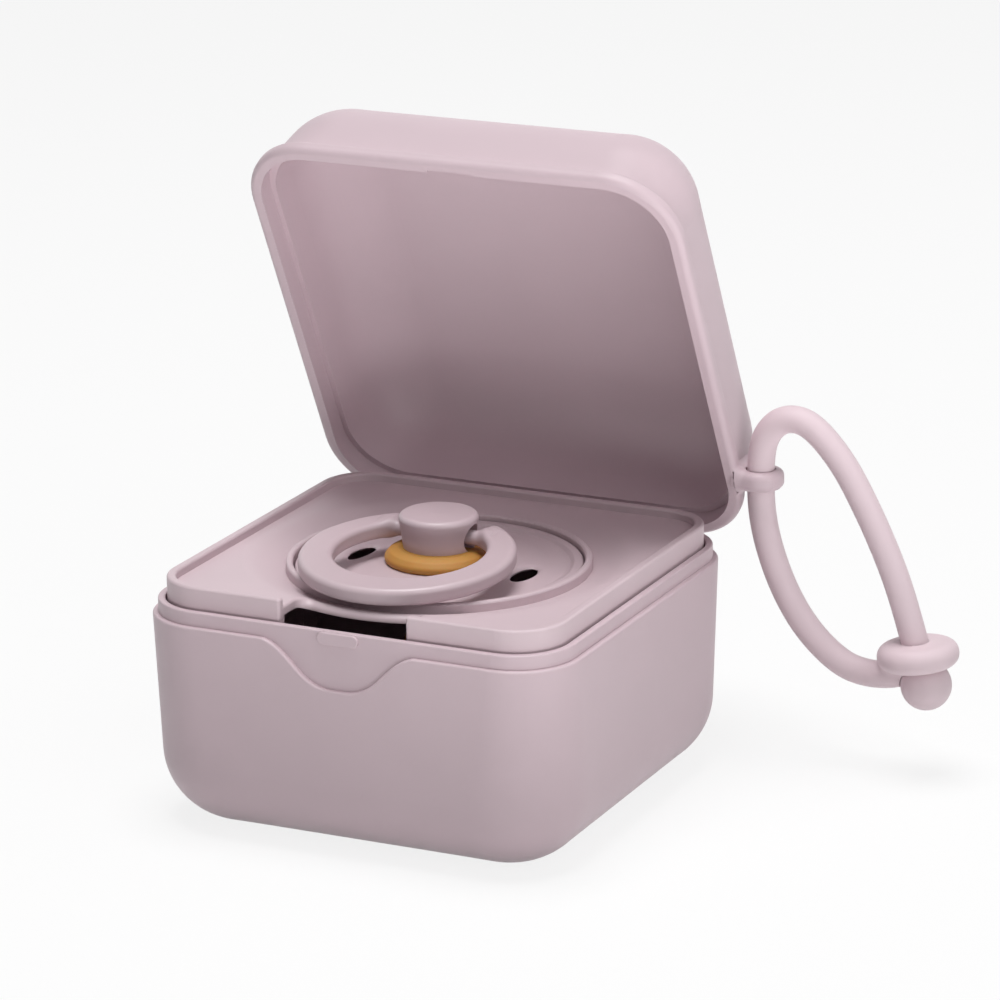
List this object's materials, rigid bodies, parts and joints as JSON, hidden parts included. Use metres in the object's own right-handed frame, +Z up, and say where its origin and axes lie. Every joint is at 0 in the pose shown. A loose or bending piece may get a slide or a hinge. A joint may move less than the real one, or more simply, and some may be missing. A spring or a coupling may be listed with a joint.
{
  "type": "pacifier sterilizer case",
  "caption": "Rounded square travel case with a hinged lid that opens on a lift-out tray, a pacifier seated in its collar, and a soft strap looped through an eye on the lid.",
  "frame": {"origin": "centre of the flat underside of the base, on the surface that the case stands on", "axes": "+Z up, -Y front (catch side), +X right (strap side); the lid is hinged at +Y"},
  "size_m": [0.1079, 0.0854, 0.1017],
  "materials": {
    "case_plastic": "satin",
    "tray_plastic": "satin",
    "pacifier_plastic": "satin",
    "latex": "semi-gloss",
    "strap_silicone": "matte",
    "pin_steel": "satin"
  },
  "bodies": {
    "case_base": {"base_shell": "case_plastic", "hinge_pin": "pin_steel"},
    "lid": {"lid_shell": "case_plastic"},
    "tray": {"dispenser_tray": "tray_plastic"},
    "pacifier": {"pacifier_shield": "pacifier_plastic", "pacifier_teat": "latex", "pacifier_knob": "pacifier_plastic"},
    "ring": {"pacifier_ring": "pacifier_plastic"},
    "strap": {"strap_cord": "strap_silicone", "strap_disc": "strap_silicone", "strap_ball": "strap_silicone"}
  },
  "joints": [
    {"name": "lid_hinge", "type": "hinge", "parent": "case_base", "child": "lid", "pos_m": [0, 0.0366, 0.0326], "axis": [-1, 0, 0], "range_deg": [-63.15, 46.85]},
    {"name": "tray_lift", "type": "slide", "parent": "case_base", "child": "tray", "axis": [0, 0, 1], "range_m": [0, 0.016]},
    {"name": "pacifier_lift", "type": "slide", "parent": "tray", "child": "pacifier", "axis": [0, 0, 1], "range_m": [0, 0.024]},
    {"name": "ring_swing", "type": "hinge", "parent": "pacifier", "child": "ring", "pos_m": [0, 0, 0.0413], "axis": [-1, 0, 0], "range_deg": [0, 168]},
    {"name": "strap_swivel", "type": "hinge", "parent": "lid", "child": "strap", "pos_m": [0.0389, 0.0344, 0.0452], "axis": [0, 0, 1], "range_deg": [-40, 60]}
  ]
}
